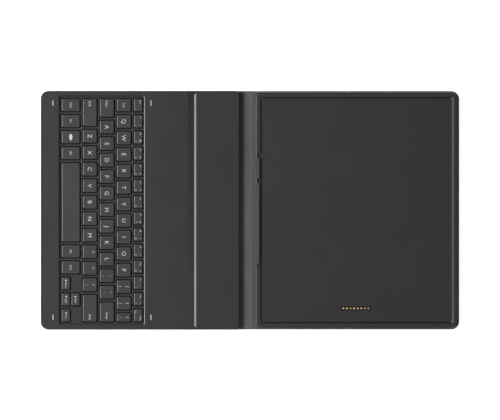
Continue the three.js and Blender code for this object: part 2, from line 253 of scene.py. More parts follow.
def ring_between(outer, inner, z):
    """Closed wall between two outlines with equal numbers of points."""
    count = len(outer)
    verts = [(px, py, height) for height in z for outline in (outer, inner) for px, py in outline]
    faces = []
    for i in range(count):
        j = (i + 1) % count
        loops = [(0, 1), (1, 3), (3, 2), (2, 0)]
        faces += [(a * count + i, a * count + j, b * count + j, b * count + i) for a, b in loops]
    return facing_out(verts, faces)


def bar(x, section):
    """Closed solid along X with the section given as (y, z) points."""
    count = len(section)
    verts = [(end, py, pz) for end in x for py, pz in section]
    faces = [tuple(range(count)), tuple(reversed(range(count, 2 * count)))]
    faces += [(i, i + count, (i + 1) % count + count, (i + 1) % count) for i in range(count)]
    return facing_out(verts, faces)


def block(x, y, z):
    return bar(x, [(y[0], z[0]), (y[1], z[0]), (y[1], z[1]), (y[0], z[1])])


def turned(x, y, profile, sides):
    """Closed round solid about a vertical axis through (x, y), given as (radius, z) from the bottom."""
    ring = [2 * math.pi * i / sides for i in range(sides)]
    return loft([(z, [(x + r * math.cos(a), y + r * math.sin(a)) for a in ring]) for r, z in profile])


def facing_out(verts, faces):
    made = bmesh_of(verts, faces)
    bmesh.ops.recalc_face_normals(made, faces=made.faces)
    return taken_apart(made)


def bmesh_of(verts, faces):
    made = bmesh.new()
    points = [made.verts.new(v) for v in verts]
    for face in faces:
        made.faces.new([points[i] for i in face])
    made.verts.index_update()
    return made


def taken_apart(made):
    made.verts.index_update()
    shape = (
        [tuple(v.co) for v in made.verts],
        [tuple(v.index for v in f.verts) for f in made.faces],
    )
    made.free()
    return shape


def together(*shapes):
    """Several closed solids as one list of points and faces."""
    verts, faces = [], []
    for shape in shapes:
        start = len(verts)
        verts += shape[0]
        faces += [tuple(i + start for i in face) for face in shape[1]]
    return verts, faces


def plain_object(name, shape):
    mesh = bpy.data.meshes.new(name)
    mesh.from_pydata(shape[0], [], shape[1])
    mesh.update()
    made = bpy.data.objects.new(name, mesh)
    bpy.context.scene.collection.objects.link(made)
    return made


def evaluated_shape(obj):
    """The points and faces of an object with its modifiers applied. The object is removed."""
    depsgraph = bpy.context.evaluated_depsgraph_get()
    mesh = bpy.data.meshes.new_from_object(obj.evaluated_get(depsgraph))
    shape = ([tuple(v.co) for v in mesh.vertices], [tuple(p.vertices) for p in mesh.polygons])
    bpy.data.objects.remove(obj)
    bpy.data.meshes.remove(mesh)
    return shape


def cut(body, *cutters):
    """body less each of the cutters in turn."""
    for cutter in cutters:
        blank = plain_object("blank", body)
        tool = plain_object("tool", cutter)
        boolean = blank.modifiers.new("cut", "BOOLEAN")
        boolean.operation = "DIFFERENCE"
        boolean.solver = "EXACT"
        boolean.object = tool
        body = evaluated_shape(blank)
        bpy.data.objects.remove(tool)
    return body


# ---- Materials ----


def srgb(*levels):
    """A linear colour from one grey level or three levels of 0 to 255."""
    red_green_blue = levels * 3 if len(levels) == 1 else levels
    return tuple(
        c / 12.92 if c <= 0.04045 else ((c + 0.055) / 1.055) ** 2.4 for c in (v / 255 for v in red_green_blue)
    ) + (1.0,)


class Finish:
    """A material, with short ways to add and join its nodes."""

    def __init__(self, name, place="object"):
        self.material = bpy.data.materials.new(name)
        self.material.use_nodes = True
        self.tree = self.material.node_tree
        self.tree.nodes.clear()
        self.output = self.node("OutputMaterial")
        if place == "object":
            self.place = self.node("TexCoord").outputs["Object"]
        else:
            self.place = self.node("Attribute", attribute_name="rest_place").outputs["Vector"]
        self.wear = self.node("Attribute", attribute_name="edge_wear").outputs["Fac"]

    def node(self, kind, inputs=None, **settings):
        made = self.tree.nodes.new("ShaderNode" + kind)
        for key, value in settings.items():
            setattr(made, key, value)
        for key, value in (inputs or {}).items():
            if isinstance(value, bpy.types.NodeSocket):
                self.tree.links.new(value, made.inputs[key])
            else:
                made.inputs[key].default_value = value
        return made

    def stretched(self, x, y, z):
        return self.node("Mapping", {"Vector": self.place, "Scale": (x, y, z)}).outputs["Vector"]

    def wavering(self, scale, reach):
        """The place on the piece, shifted by up to reach, so that a pattern on it isn't quite straight."""
        drift = self.node("TexNoise", {"Vector": self.place, "Scale": scale, "Detail": 2.0}).outputs["Color"]
        shift = self.node("VectorMath", {0: drift, "Scale": reach}, operation="SCALE").outputs[0]
        return self.node("VectorMath", {0: self.place, 1: shift}, operation="ADD").outputs[0]

    def noise(self, size_mm, detail=2.0, rough=0.5, place=None):
        """Smooth noise from 0 to 1, with features about size_mm across."""
        scale = 1000.0 / size_mm
        inputs = {"Vector": place or self.place, "Scale": scale, "Detail": detail, "Roughness": rough}
        return self.node("TexNoise", inputs).outputs["Fac"]

    def maths(self, operation, a, b=0.0, clamp=False):
        return self.node("Math", {0: a, 1: b}, operation=operation, use_clamp=clamp).outputs[0]

    def between(self, value, low, high, start=0.0, end=1.0):
        inputs = {"Value": value, "From Min": start, "From Max": end, "To Min": low, "To Max": high}
        return self.node("MapRange", inputs).outputs["Result"]

    def blended(self, share, a, b, blend="MIX"):
        made = self.node("Mix", data_type="RGBA", blend_type=blend)
        for socket, value in zip((made.inputs[0], made.inputs[6], made.inputs[7]), (share, a, b)):
            if isinstance(value, bpy.types.NodeSocket):
                self.tree.links.new(value, socket)
            else:
                socket.default_value = value
        return made.outputs[2]

    def bump(self, height, depth_mm, strength=1.0, below=None):
        inputs = {"Height": height, "Distance": depth_mm * MM, "Strength": strength}
        if below:
            inputs["Normal"] = below
        return self.node("Bump", inputs).outputs["Normal"]

    def two_toned(self, pattern, dark, pale, gloss, roughness, depth_mm, **more):
        """Blends two colours by a pattern that is also a bump. gloss moves over the pair of roughness."""
        return self.shade({
            "Base Color": self.blended(pattern, dark, pale),
            "Roughness": self.between(gloss, *roughness),
            "Normal": self.bump(pattern, depth_mm),
            **more,
        })

    def shade(self, inputs):
        shader = self.node("BsdfPrincipled", inputs)
        self.tree.links.new(shader.outputs[0], self.output.inputs["Surface"])
        return self.material


# Share of red, green and blue in the slightly cool grey of the moulded parts
COOL_TINT = (0.985, 0.99, 1.06)

# Roughness and specular level of a moulded part's broad faces, and the specular level of its rubbed edges
MATT_FACE = (0.56, 0.2)
EDGE_SPECULAR = 0.5


def moulded(name, level, roughness, grain=(0.5, 0.012), worn_by=1.35, polish_by=2.0, face=MATT_FACE):
    """Moulded plastic: matt spark-eroded faces, faint handling marks, and edges rubbed paler and smoother.

    grain is the size and depth of its pits in millimetres. The broad faces have the roughness and specular
    level of face, and the edges the given roughness, reached the sooner the higher polish_by is.
    """
    f = Finish(name)
    broad = f.noise(38, detail=3.0)
    grain_size, grain_depth = grain
    pits = f.noise(grain_size, detail=2.0, rough=0.6)
    tone = [c * tint for c, tint in zip(srgb(level), COOL_TINT)]
    dark, pale, rubbed = (tuple(c * by for c in tone) + (1.0,) for by in (0.9, 1.1, worn_by))
    mottle = f.maths("ADD", f.maths("MULTIPLY", broad, 0.6), f.maths("MULTIPLY", pits, 0.4))
    ground = f.blended(mottle, dark, pale)
    scuffs = f.between(f.noise(2.5, detail=3.0), 0.0, 1.0, 0.35, 0.65)
    worn = f.maths("MULTIPLY", f.wear, scuffs, clamp=True)
    polish = f.maths("MULTIPLY", f.wear, polish_by, clamp=True)
    gloss = f.between(polish, face[0], roughness)
    patches = f.between(broad, -0.05, 0.05, 0.25, 0.75)
    return f.shade({
        "Base Color": f.blended(worn, ground, rubbed),
        "Roughness": f.maths("ADD", gloss, patches),
        "Specular IOR Level": f.between(polish, face[1], EDGE_SPECULAR),
        "Normal": f.bump(pits, grain_depth),
    })


def printed(name, level):
    """Pad-printed ink, a little uneven at the edges of its coverage."""
    f = Finish(name)
    speckle = f.between(f.noise(0.35, detail=3.0), 0.0, 1.0, 0.3, 0.6)
    thin = tuple(c * 0.72 for c in srgb(level)[:3]) + (1.0,)
    return f.two_toned(speckle, thin, srgb(level), speckle, (0.62, 0.5), 0.004)


def satin_metal(name, colour, roughness, stretch=(0.04, 2.6, 2.6)):
    """Satin metal with fine lines along X, or with a fine mottle where the stretch is even."""
    f = Finish(name)
    lines = f.noise(4.0, detail=4.0, rough=0.7, place=f.stretched(*stretch))
    drawn = f.between(lines, roughness, roughness + 0.12)
    handled = f.between(f.noise(9, detail=3.0), 0.0, 0.05)
    dark = tuple(c * 0.82 for c in colour[:3]) + (1.0,)
    return f.shade({
        "Base Color": f.blended(lines, dark, colour),
        "Metallic": 1.0,
        "Roughness": f.maths("ADD", drawn, handled),
        "Normal": f.bump(lines, 0.01),
    })


def woven(name, level, pitch_mm):
    """Plain weave of two yarns, with soft fuzz, slubs and a little tone between warp and weft.

    Painted shade darkens it over a span in Y towards the tray.
    """
    f = Finish(name, place="rest")
    axes = f.node("SeparateXYZ", {0: f.wavering(90.0, pitch_mm * MM * 0.5)})
    turn = math.pi / (pitch_mm * MM)
    across = f.maths("SINE", f.maths("MULTIPLY", axes.outputs["X"], turn))
    along = f.maths("SINE", f.maths("MULTIPLY", axes.outputs["Y"], turn))
    checker = f.maths("MULTIPLY", across, along)
    over = f.between(checker, 0.0, 1.0, -0.25, 0.25)
    pillow = f.maths("POWER", f.maths("ABSOLUTE", checker), 0.45)
    fibre_x = f.noise(0.5, detail=3.0, place=f.stretched(0.25, 1.6, 1.6))
    fibre_y = f.noise(0.5, detail=3.0, place=f.stretched(1.6, 0.25, 1.6))
    fibre = f.blended(over, fibre_x, fibre_y)
    slub = f.noise(14, detail=3.0, place=f.stretched(0.15, 1.0, 1.0))
    warp = srgb(level * 0.82)
    weft = srgb(level * 1.2)
    yarn = f.blended(over, warp, weft)
    dusty = f.blended(f.between(fibre, 0.0, 0.45), yarn, srgb(level * 1.35))
    shaded = f.blended(f.between(pillow, 0.8, 0.0), dusty, srgb(level * 0.4))
    slubbed = f.blended(f.between(slub, 0.0, 0.5, 0.3, 0.75), shaded, srgb(level * 1.3))
    # Painted shade: the cloth darkens towards the tray
    painted_shade_to_tray = f.between(axes.outputs["Y"], 0.0, 0.55, *(y * MM for y in LINER_SHADE_Y))
    toned = f.blended(painted_shade_to_tray, slubbed, srgb(level * 0.55))
    fine = f.bump(fibre, 0.02)
    return f.shade({
        "Base Color": toned,
        "Roughness": f.between(fibre, 0.82, 0.95),
        "Specular IOR Level": 0.25,
        "Sheen Weight": 0.25,
        "Sheen Roughness": 0.45,
        "Normal": f.bump(pillow, 0.09, below=fine),
    })


def grained_skin(name, level, roughness=0.55):
    """Synthetic leather: small pebbled cells with fine pores, rubbed smoother and paler along the edges."""
    f = Finish(name, place="rest")
    place = f.wavering(220.0, 0.9 * MM)
    cells = f.node("TexVoronoi", {"Vector": place, "Scale": 1000.0}, feature="DISTANCE_TO_EDGE")
    pebble = f.between(cells.outputs["Distance"], 0.0, 1.0, 0.0, 0.32)
    pores = f.noise(0.35, detail=3.0, rough=0.65)
    broad = f.noise(45, detail=4.0)
    valley = srgb(level * 0.78)
    crest = srgb(level * 1.06)
    ground = f.blended(pebble, valley, crest)
    toned = f.blended(f.between(broad, 0.0, 0.35), ground, srgb(level * 1.15))
    scuffs = f.between(f.noise(3.0, detail=3.0), 0.0, 1.0, 0.3, 0.7)
    rubbed = f.maths("MULTIPLY", f.wear, scuffs, clamp=True)
    return f.shade({
        "Base Color": f.blended(rubbed, toned, srgb(level * 1.3)),
        "Roughness": f.between(pebble, roughness + 0.15, roughness),
        "Specular IOR Level": 0.4,
        "Normal": f.bump(pebble, 0.05, below=f.bump(pores, 0.012)),
    })


def rubber(name, level, roughness=0.75):
    """Moulded rubber with a dusty bloom."""
    f = Finish(name)
    bloom = f.noise(3.0, detail=4.0)
    fine = f.noise(0.25)
    return f.shade({
        "Base Color": f.blended(bloom, srgb(level * 0.88), srgb(level * 1.08)),
        "Roughness": f.between(bloom, roughness - 0.08, roughness + 0.08),
        "Specular IOR Level": 0.35,
        "Normal": f.bump(fine, 0.01),
    })


def pressed_board(name, level):
    """Grey fibreboard with pressed flecks."""
    f = Finish(name)
    flecks = f.noise(1.2, detail=4.0, place=f.stretched(0.4, 1.0, 1.0))
    return f.two_toned(flecks, srgb(level * 0.8), srgb(level * 1.15), flecks, (0.75, 0.95), 0.03)


def circuit(name):
    """Green board lacquer with straight copper runs showing through."""
    f = Finish(name)
    bricks = f.node("TexBrick", {"Vector": f.place, "Scale": 220.0, "Mortar Size": 0.08}, offset=0.37)
    runs = bricks.outputs["Fac"]
    return f.two_toned(runs, srgb(24, 58, 38), srgb(52, 96, 58), f.noise(6), (0.3, 0.45), 0.02)


def ribbon_film(name):
    """Amber film with copper tracks along its length."""
    f = Finish(name)
    wave = f.node("TexWave", {"Vector": f.place, "Scale": 300.0, "Distortion": 0.0}, bands_direction="X")
    tracks = wave.outputs["Fac"]
    return f.two_toned(tracks, srgb(122, 78, 26), srgb(176, 118, 52), f.noise(5), (0.3, 0.5), 0.01)


DECK_PLASTIC = moulded("deck_plastic", 41, 0.35, polish_by=4.0)
# The groove ramp's plastic: glossier than the deck, and its colour made a little lighter as painted light
GROOVE_GLOSS_AND_LIGHT = moulded("groove_gloss_and_painted_light", 44, 0.35, face=(0.35, 0.5))
KEY_PLASTIC = moulded("keycap_plastic", 49, 0.38, grain=(0.4, 0.008), worn_by=1.5, polish_by=1.3)
TRAY_PLASTIC = moulded("tray_plastic", 42, 0.34)
# Real plastic of the contact block; on the tray it is also used as painted shade in the holes and gutters
CONTACT_PLASTIC_AND_SHADE = moulded("contact_plastic", 22, 0.4, grain=(0.3, 0.012))
LEGEND_INK = printed("legend_ink", 172)
LEGEND_FAINT = printed("legend_faint_ink", 145)
STRIP_METAL = satin_metal("groove_strip_metal", srgb(98, 98, 100), 0.45)
PLATE_METAL = satin_metal("support_plate_metal", srgb(64, 65, 67), 0.5)
MAGNET_METAL = satin_metal("magnet_plating", srgb(150, 150, 152), 0.25, stretch=(0.4, 0.4, 0.4))
GOLD = satin_metal("contact_gold", srgb(228, 200, 150), 0.24, stretch=(0.6, 0.6, 0.6))
LINER_CLOTH = woven("woven_liner", 81, 1.1)
OUTER_SKIN = grained_skin("outer_skin", 72)
BUMPER_RUBBER = rubber("bumper_rubber", 132)
DOME_RUBBER = rubber("dome_rubber", 26, 0.65)
BOARD = pressed_board("stiffener_board", 96)
# Painted shade: dark rubber on the skin's inner floor, seen only in the gap between the tray and the hem
SKIN_GAP_SHADE = rubber("skin_painted_gap_shade", 24)
CIRCUIT = circuit("circuit_board")
RIBBON = ribbon_film("ribbon_film")


# ---- Making a piece ----


# Edges that turn outwards by more than the start are marked as worn, fully so past the span. The verts of
# broad faces are left clean: those whose area is over this many millimetres times their outline's length.
WEAR_START = math.radians(6)
WEAR_SPAN = math.radians(24)
BROAD_FACE = 0.55


def finish_mesh(obj, sharp_degrees=38.0):
    """Scales a piece to metres, smooths its shading between sharp edges and marks its outward edges."""
    made = bmesh.new()
    made.from_mesh(obj.data)
    bmesh.ops.remove_doubles(made, verts=made.verts, dist=0.0005)
    bmesh.ops.scale(made, vec=(MM, MM, MM), verts=made.verts)
    limit = math.radians(sharp_degrees)
    wear = made.verts.layers.float.new("edge_wear")
    rest = made.verts.layers.float_vector.new("rest_place")
    for face in made.faces:
        face.smooth = True
    for edge in made.edges:
        edge.smooth = edge.calc_face_angle(math.pi) < limit
    broad = {v for f in made.faces if f.calc_area() > BROAD_FACE * MM * f.calc_perimeter() for v in f.verts}
    for vert in made.verts:
        outward = max((edge.calc_face_angle_signed(0.0) for edge in vert.link_edges), default=0.0)
        vert[wear] = 0.0 if vert in broad else min(1.0, max(0.0, outward - WEAR_START) / WEAR_SPAN)
        vert[rest] = vert.co
    made.to_mesh(obj.data)
    made.free()
    weighted = obj.modifiers.new("even shading", "WEIGHTED_NORMAL")
    weighted.keep_sharp = True


def piece(name, shape, materials, body=None, stands_for=(), inked=()):
    """One visible piece. inked holds (shape, material number) pairs of print that go in with it."""
    parts = [(shape, 0), *inked]
    obj = plain_object(name, together(*(part for part, _ in parts)))
    for material in materials if isinstance(materials, list) else [materials]:
        obj.data.materials.append(material)
    numbers = [number for part, number in parts for _ in part[1]]
    for face, number in zip(obj.data.polygons, numbers):
        face.material_index = number
    finish_mesh(obj)
    if body:
        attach(obj, body)
    if stands_for:
        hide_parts(*stands_for)
    return obj


# ---- Camera, light and floor ----

WHITE = (1.0, 1.0, 1.0, 1.0)

# Camera: its height in metres, its sensor, and the width and centre of what it sees, in millimetres
CAMERA_HEIGHT = 2.4
SENSOR = 36.0
FRAME_WIDTH = 500
VIEW_CENTRE = (-0.27, 0.05)

# Floor, in millimetres. It glows a little, so that it stays near white in the case's own shadow.
FLOOR_REACH = 4000.0
FLOOR_Z = (-2.0, -0.02)
FLOOR_GLOW = 0.75

# Lights, in metres and watts. The key light stands on the typist's side, turned a little to the left.
KEY_DISTANCE = 1.7
KEY_HEIGHT = math.radians(32.5)
KEY_TURN = math.radians(5)
KEY_SIZE = (1.9, 0.95)
KEY_WATTS = 78.5
FILL_PLACE = (0.6, 1.0, 1.65)
FILL_SIZE = (0.8, 0.8)
FILL_WATTS = 3.6
ROOM_LIGHT = 0.155


def make_camera():
    """Looks straight down, with the typist's side of the case at the left of the picture."""
    data = bpy.data.cameras.new("camera")
    data.sensor_width = SENSOR
    data.lens = SENSOR * CAMERA_HEIGHT / (FRAME_WIDTH * MM)
    camera = bpy.data.objects.new("camera", data)
    camera.location = (VIEW_CENTRE[0] * MM, VIEW_CENTRE[1] * MM, CAMERA_HEIGHT)
    camera.rotation_euler = (0.0, 0.0, math.pi / 2)
    bpy.context.scene.collection.objects.link(camera)
    bpy.context.scene.camera = camera


def make_area_light(name, place, size, watts):
    """A softbox that faces the middle of the case."""
    data = bpy.data.lights.new(name, "AREA")
    data.shape = "RECTANGLE"
    data.size, data.size_y = size
    data.energy = watts
    light = bpy.data.objects.new(name, data)
    light.location = place
    light.rotation_euler = (-Vector(place)).to_track_quat("-Z", "Y").to_euler()
    bpy.context.scene.collection.objects.link(light)


def make_stage():
    floor_shape = block(both(FLOOR_REACH), both(FLOOR_REACH), FLOOR_Z)
    floor = plain_object("floor", ([tuple(c * MM for c in v) for v in floor_shape[0]], floor_shape[1]))
    f = Finish("studio_floor")
    paper = f.noise(300, detail=2.0)
    floor.data.materials.append(
        f.shade({
            "Base Color": f.blended(paper, (0.86, 0.86, 0.86, 1.0), (0.88, 0.88, 0.88, 1.0)),
            "Roughness": 0.9,
            "Emission Color": WHITE,
            "Emission Strength": FLOOR_GLOW,
        })
    )
    reach = KEY_DISTANCE * math.cos(KEY_HEIGHT)
    place = (-reach * math.sin(KEY_TURN), -reach * math.cos(KEY_TURN), KEY_DISTANCE * math.sin(KEY_HEIGHT))
    make_area_light("key_softbox", place, KEY_SIZE, KEY_WATTS)
    make_area_light("fill_softbox", FILL_PLACE, FILL_SIZE, FILL_WATTS)
    world = bpy.data.worlds.new("studio")
    world.use_nodes = True
    world.node_tree.nodes["Background"].inputs["Color"].default_value = WHITE
    world.node_tree.nodes["Background"].inputs["Strength"].default_value = ROOM_LIGHT
    bpy.context.scene.world = world
    bpy.context.scene.view_settings.view_transform = "Standard"


# ---- Key caps and their legends ----

# Each CAD key node with its legend, or with the caps on it as (name, legend) pairs from the typist's left. A
# legend is a list of (text, place, height, faint). Places are on a three by three grid over the cap's top:
# columns a, b and c from the left, and rows 1, 2 and 3 from the front.
LETTER = 4.2
WORD = 2.3
MARK = 2.9
SMALL = 1.75
TINY = SMALL * 0.85


def letters(chars):
    return [(char, [(char.upper(), "b2", LETTER, False)]) for char in chars]


def word(text, place="b2"):
    return [(text, place, WORD, False)]


def pair(lower, upper):
    return [(lower, "b1", MARK, True), (upper, "b3", MARK, False)]


def number(name, lower, upper, extra):
    return name, [(lower, "c1", SMALL, False), (upper, "c3", SMALL, False), (extra, "a3", TINY, False)]


SHIFTED = dict(zip("1234567890", "!@#$%^&*()"))
DIGITS = [number(low, low, high, f"F{i}") for i, (low, high) in enumerate(SHIFTED.items(), 1)]


KEYS = {
    "key_ctrl_left": word("Ctrl"),
    "key_fn": word("Fn"),
    "key_menu": "oval",
    "key_alt_left": word("Alt"),
    "key_space": [],
    "key_alt_right": word("Alt"),
    "key_ctrl_right": word("Ctrl"),
    "key_left": "arrow_left",
    "key_down": "arrow_down",
    "key_up": "arrow_up",
    "key_right": "arrow_right",
    "key_shift_left": word("Shift", "a2"),
    "keys_z_x_c": letters("zxc"),
    "keys_v_b": letters("vb"),
    "keys_n_m_comma": [*letters("nm"), ("comma", pair(",", "<"))],
    "keys_period_slash": [("period", pair(".", ">")), ("slash", pair("/", "?"))],
    "key_shift_right": word("Shift", "c2"),
    "key_caps_lock": word("Caps", "a2"),
    "keys_a_s_d": letters("asd"),
    "keys_f_g_h": letters("fgh"),
    "keys_j_k_l": letters("jkl"),
    "keys_semicolon_quote": [("semicolon", pair(";", ":")), ("quote", pair("'", '"'))],
    "key_enter": word("Enter", "c2"),
    "key_tab": word("Tab"),
    "keys_q_w_e": letters("qwe"),
    "keys_r_t_y": letters("rty"),
    "keys_u_i_o": letters("uio"),
    "keys_p_brackets": [*letters("p"), ("bracket_open", pair("[", "{")), ("bracket_close", pair("]", "}"))],
    "key_backslash": pair("\\", "|"),
    "keys_number_left": [
        ("escape", [("Esc", "a3", SMALL, False), ("`", "a1", SMALL, True), ("~", "c1", SMALL, True)]),
        *DIGITS[:6],
    ],
    "keys_number_right": [
        *DIGITS[6:],
        number("minus", "-", "_", "F11"),
        number("equals", "=", "+", "F12"),
        ("delete", [("Del", "c3", SMALL, False), ("Ins", "a1", TINY, False)]),
    ],
}

# Each arrow key's turn from pointing right, and its word. The word starts ARROW_STEP after the arrow does.
ARROWS = {"left": (180, "Home"), "down": (270, "PgDn"), "up": (90, "PgUp"), "right": (0, "End")}
ARROW_HEAD = ((-0.95, -1.05), (1.1, 0.0), (-0.95, 1.05))
ARROW_MIDDLE = 0.8
ARROW_STEP = 2.6

OVAL_RADII = (3.2, 1.6)
OVAL_SIDES = 28

# Share of a font's size that its capitals take up
CAPITAL_SHARE = 0.72

# How far a legend that isn't in the middle stays from the cap's sides, and from its front and rear
SIDE_MARGIN = 2.2
SMALL_SIDE_MARGIN = 1.9
ROW_MARGIN = 2.2
SMALL_ROW_MARGIN = 1.35


def text_shape(text, height):
    """Text as closed flat solids round the origin, whose capitals are height tall, with its width."""
    curve = bpy.data.curves.new("text", "FONT")
    curve.body = text
    curve.size = height / CAPITAL_SHARE
    curve.align_x = "CENTER"
    curve.resolution_u = 3
    curve.extrude = LEGEND_DEPTH / 2
    obj = bpy.data.objects.new("text", curve)
    bpy.context.scene.collection.objects.link(obj)
    verts, faces = evaluated_shape(obj)
    bpy.data.curves.remove(curve)
    low, high = min(v[0] for v in verts), max(v[0] for v in verts)
    shift = (low + high) / 2
    return ([(x - shift, y - height / 2, z) for x, y, z in verts], faces), high - low


def flat_shape(outline):
    """A flat closed solid of an outline round the origin."""
    return loft([(-LEGEND_DEPTH / 2, outline), (LEGEND_DEPTH / 2, outline)])


def cap_height(x, y, px, py, top):
    """Height of a cap's dished top face at a point."""
    inset = min(px - x[0], x[1] - px, py - y[0], y[1] - py)
    for (i0, z0), (i1, z1) in zip(CAP_PROFILE, CAP_PROFILE[1:]):
        if i0 <= inset < i1:
            return top + z0 + (z1 - z0) * (inset - i0) / (i1 - i0)
    return top + CAP_PROFILE[-1][1]


def laid_on(shape, at, x, y, top):
    """A legend moved to its place and let into the cap's top face."""
    verts = []
    for px, py, pz in shape[0]:
        px, py = px + at[0], py + at[1]
        surface = cap_height(x, y, px, py, top)
        verts.append((px, py, surface + (LEGEND_PROUD if pz > 0 else LEGEND_PROUD - LEGEND_DEPTH)))
    return verts, shape[1]


def oval_parts(x, y, top):
    ring = [2 * math.pi * i / OVAL_SIDES for i in range(OVAL_SIDES)]
    oval = [(OVAL_RADII[0] * math.cos(a), OVAL_RADII[1] * math.sin(a)) for a in ring]
    return [(laid_on(flat_shape(oval), (middle(x), middle(y)), x, y, top), 1)]


def arrow_parts(direction, x, y, top):
    turn, label = ARROWS[direction]
    spin = Matrix.Rotation(math.radians(turn), 2)
    head = [tuple(spin @ Vector(p)) for p in ARROW_HEAD]
    words, width = text_shape(label, SMALL)
    start = middle(x) - (width + ARROW_STEP) / 2
    head_at = (start + ARROW_MIDDLE, middle(y))
    words_at = (start + ARROW_STEP + width / 2, middle(y))
    return [(laid_on(flat_shape(head), head_at, x, y, top), 1), (laid_on(words, words_at, x, y, top), 1)]


def text_parts(legend, x, y, top):
    parts = []
    for text, place, height, faint in legend:
        shape, width = text_shape(text, height)
        side = {"a": -1, "b": 0, "c": 1}[place[0]]
        row = {"1": -1, "2": 0, "3": 1}[place[1]]
        side_margin = SIDE_MARGIN if height >= WORD else SMALL_SIDE_MARGIN
        row_margin = ROW_MARGIN if height >= MARK else SMALL_ROW_MARGIN
        at_x = middle(x) + side * ((x[1] - x[0]) / 2 - side_margin - width / 2)
        at_y = middle(y) + row * ((y[1] - y[0]) / 2 - row_margin - height / 2)
        parts.append((laid_on(shape, (at_x, at_y), x, y, top), 2 if faint else 1))
    return parts


def legend_parts(legend, x, y, top):
    """The print on one cap, as (shape, material number) pairs."""
    if legend == "oval":
        return oval_parts(x, y, top)
    if isinstance(legend, str):
        return arrow_parts(legend.split("_")[1], x, y, top)
    return text_parts(legend, x, y, top)


def make_cap(node, name, legend, x, y, top):
    reach = CAP_REACH * min(x[1] - x[0], y[1] - y[0])
    profile = [(inset, top + z) for inset, z in CAP_PROFILE if inset < reach]
    cap = inset_loft(x, y, CAP_CORNER, profile, steps=4)
    inks = legend_parts(legend, x, y, top)
    finishes = [KEY_PLASTIC, LEGEND_INK, LEGEND_FAINT] if inks else KEY_PLASTIC
    piece("cap_" + name, cap, finishes, body=node, stands_for=[node], inked=inks)


def make_dome(name, x, y):
    """The rubber dome under one cap."""
    base = node_box("dome_sheet")[0].z + DOME_SHEET_THICKNESS
    at = (middle(x), middle(y))
    shape = turned(*at, [(radius, base + z) for radius, z in DOME_PROFILE], 24)
    dome = piece("dome_" + name, shape, DOME_RUBBER, body="keyboard_deck")
    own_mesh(dome)


def make_dome_sheet():
    """The sheet that holds the domes, with its tail to the controller."""
    low, high = node_box("dome_sheet")
    rear, tail = DOME_SHEET_Y, DOME_TAIL_X
    outline = [(low.x, low.y), (high.x, low.y), (high.x, rear), (tail, rear)]
    outline += [(tail, high.y), (-tail, high.y), (-tail, rear), (low.x, rear)]
    shape = loft([(low.z, outline), (low.z + DOME_SHEET_THICKNESS, outline)])
    piece("dome_membrane", shape, DOME_RUBBER, body="keyboard_deck", stands_for=["dome_sheet"])


def make_keys():
    """Makes every cap and its dome, and returns the base outline (x, y) of each cap."""
    outlines = []
    for node, entry in KEYS.items():
        caps = entry if node.startswith("keys_") else [(node.removeprefix("key_"), entry)]
        low, high = node_box(node)
        width = (high.x - low.x - (len(caps) - 1) * CAP_GAP) / len(caps)
        for i, (name, legend) in enumerate(caps):
            start = low.x + i * (width + CAP_GAP)
            x, y = (start, start + width), (low.y, high.y)
            make_cap(node, name, legend, x, y, high.z)
            make_dome(name, x, y)
            outlines.append((x, y))
    return outlines


# ---- Keyboard deck ----


def quarter_round(radius, top, steps=5):
    """(inset, z) points of a rounded edge that ends level with the top."""
    turns = [math.pi / 2 * i / steps for i in range(steps + 1)]
    return [(radius - radius * math.cos(t), top - radius + radius * math.sin(t)) for t in turns]


def deck_body(low, high):
    """The deck's outer form, which is rounded less along its rear edge."""
    corners = [DECK_CORNER, DECK_CORNER, REAR_CORNER, REAR_CORNER]
    levels = []
    for inset, z in [(0.2, low.z), (0.0, low.z + 0.25)] + quarter_round(SHELL_ROUND, high.z):
        x = (low.x + inset, high.x - inset)
        y = (low.y + inset, high.y - inset * REAR_ROUND_SHARE)
        levels.append((z, rounded(x, y, [corner - inset for corner in corners], steps=10)))
    return loft(levels)


def cavity_cutter(bottom):
    """The room inside the deck, open below."""
    front, rear = CAVITY_CEILING[0][0], CAVITY_CEILING[-1][0]
    return bar(both(CAVITY_X), [(front, bottom), *CAVITY_CEILING, (rear, bottom)])


def well_cutter(top):
    """The well round the keys: steep walls, and a chamfer of WELL_FLARE up to the deck's top."""
    profile = [
        (0.12, WEB_TOP),
        (0.0, WEB_TOP + 0.06),
        (-0.05, top - 0.56),
        (-0.2, top - 0.42),
        (0.05 - WELL_FLARE, top - 0.06),
        (-0.15 - WELL_FLARE, top + 0.01),
        (-0.12 - WELL_FLARE, top + 1.0),
    ]
    return inset_loft(both(WELL_X), WELL_Y, WELL_CORNER, profile)


def web_gap_cutter():
    """The gap between the web and the well's walls."""
    backs = (0.0, WEB_GAP_WIDTH)
    outer, inner = (rounded(both(WELL_X - back), grown(WELL_Y, -back), WELL_CORNER) for back in backs)
    return ring_between(outer, inner, (WEB_TOP - WEB_GAP_DEPTH, WEB_TOP + 0.3))


def groove_cutter(top):
    """The stand groove: a gentle ramp down to the rear, and a steep slope that the strip lines."""
    bottom_y, bottom_z = GROOVE_BOTTOM
    rear = GROOVE_REAR + STRIP_THICKNESS
    section = [
        (GROOVE_FRONT - 0.5, top + 0.02),
        (GROOVE_FRONT, top - 0.07),
        GROOVE_BOTTOM,
        (bottom_y + STRIP_THICKNESS, bottom_z - 0.35),
        (rear, top - 0.35),
        (rear, top + 1.0),
        (GROOVE_FRONT - 0.5, top + 1.0),
    ]
    return bar(both(GROOVE_X), section)


def bumper_seat(side):
    x, y = (grown(span, BUMPER_GAP) for span in plan("bumper_" + side))
    bottom = node_box("bumper_" + side)[0].z - 0.05
    return inset_loft(x, y, (y[1] - y[0]) / 2 - 0.01, [(0.0, bottom), (0.0, CLEAR_HEIGHT)])


